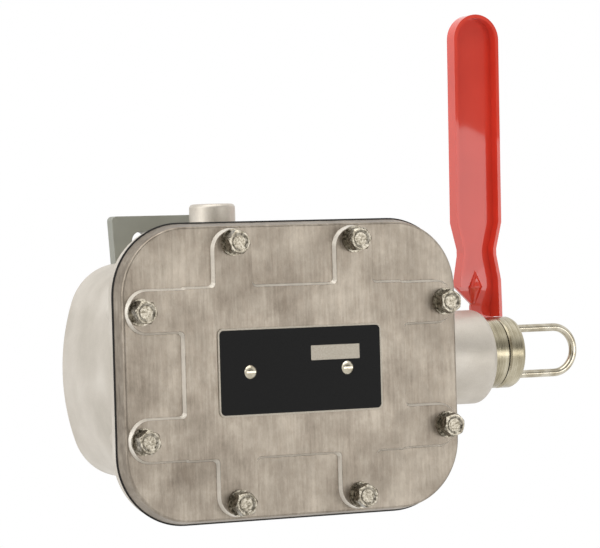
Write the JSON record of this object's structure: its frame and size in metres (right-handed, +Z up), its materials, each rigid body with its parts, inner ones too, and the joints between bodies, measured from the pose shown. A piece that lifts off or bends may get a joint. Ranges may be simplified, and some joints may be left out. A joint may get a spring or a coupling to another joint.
{
  "type": "cable pull switch",
  "caption": "Cast weatherproof cable pull switch with a bolted cover, wall plate, conduit hub, sprung pull ring on a side boss and a red swing lever.",
  "frame": {"origin": "a point on the back face of the wall plate, level with the middle of the cover and in line with the middle of the housing", "axes": "+Z up, +X towards the pull ring, -Y out of the wall towards the viewer"},
  "size_m": [0.3418, 0.14, 0.3052],
  "materials": {
    "cast_housing": "as cast",
    "cast_cover": "as cast, lightly brushed",
    "gasket_rubber": "matt",
    "screw_steel": "plated",
    "bright_steel": "bright",
    "zinc_steel": "yellowish zinc plate",
    "black_plate": "semi-gloss black with a bare rim",
    "grey_paint": "satin grey paint",
    "red_paint": "gloss red paint",
    "bronze": "turned",
    "switch_case": "moulded",
    "plunger_red": "moulded",
    "ground_green": "green plated"
  },
  "bodies": {
    "housing": {"housing_body": "cast_housing", "cover_gasket": "gasket_rubber", "cover": "cast_cover", "cover_screws": "screw_steel", "cover_washers": "screw_steel", "cover_lock_washers": "screw_steel", "nameplate": "black_plate", "nameplate_rivets": "bright_steel", "mounting_plate": "grey_paint", "plate_screws": "bright_steel", "gland_ring": "zinc_steel", "shaft_bushing": "bronze", "shaft_seal": "gasket_rubber", "return_spring": "bright_steel", "switch_plate": "zinc_steel", "switch_plate_screws": "bright_steel", "snap_switch_rear": "switch_case", "snap_switch_front": "switch_case", "switch_screws": "bright_steel", "arm_pivot_pin": "bright_steel", "terminal_block": "switch_case", "terminal_screws": "bronze", "terminal_block_screws": "bright_steel", "ground_screw": "ground_green", "lever_pivot_pin": "bright_steel", "lever_washer": "bright_steel", "lever_clip": "bright_steel"},
    "pull": {"pull_shaft": "bright_steel", "pull_collar": "zinc_steel", "pull_ring": "bright_steel", "spring_seat": "bright_steel", "shaft_clip": "bright_steel", "cam_sleeve": "bright_steel"},
    "arm": {"actuator_arm": "zinc_steel", "roller_pin": "bright_steel"},
    "roller": {"arm_roller": "bronze"},
    "rear_plunger": {"plunger_rear": "plunger_red"},
    "front_plunger": {"plunger_front": "plunger_red"},
    "lever": {"lever": "red_paint"}
  },
  "joints": [
    {"name": "pull_slide", "type": "slide", "parent": "housing", "child": "pull", "axis": [1, 0, 0], "range_m": [0, 0.01], "stiffness_N_per_m": 2800, "springref_m": -0.008, "deforming": ["return_spring"]},
    {"name": "arm_swing", "type": "hinge", "parent": "housing", "child": "arm", "pos_m": [0.011, -0.07, 0.024], "axis": [0, -1, 0], "range_deg": [0, 5.2]},
    {"name": "roller_spin", "type": "hinge", "parent": "arm", "child": "roller", "pos_m": [0.04142, -0.07, 0.01884], "axis": [0, 1, 0], "continuous": true},
    {"name": "rear_plunger_slide", "type": "slide", "parent": "housing", "child": "rear_plunger", "axis": [0, 0, 1], "range_m": [0, 0.0015]},
    {"name": "front_plunger_slide", "type": "slide", "parent": "housing", "child": "front_plunger", "axis": [0, 0, 1], "range_m": [0, 0.0015]},
    {"name": "lever_swing", "type": "hinge", "parent": "housing", "child": "lever", "pos_m": [0.177, -0.0422, 0.0023], "axis": [0, 1, 0], "range_deg": [0, 90]}
  ],
  "couplings": [
    {"joint": "arm_swing", "follows": "pull_slide", "rad_per_m": 8.83},
    {"joint": "rear_plunger_slide", "follows": "pull_slide", "ratio": 0.14},
    {"joint": "front_plunger_slide", "follows": "pull_slide", "ratio": 0.14}
  ]
}
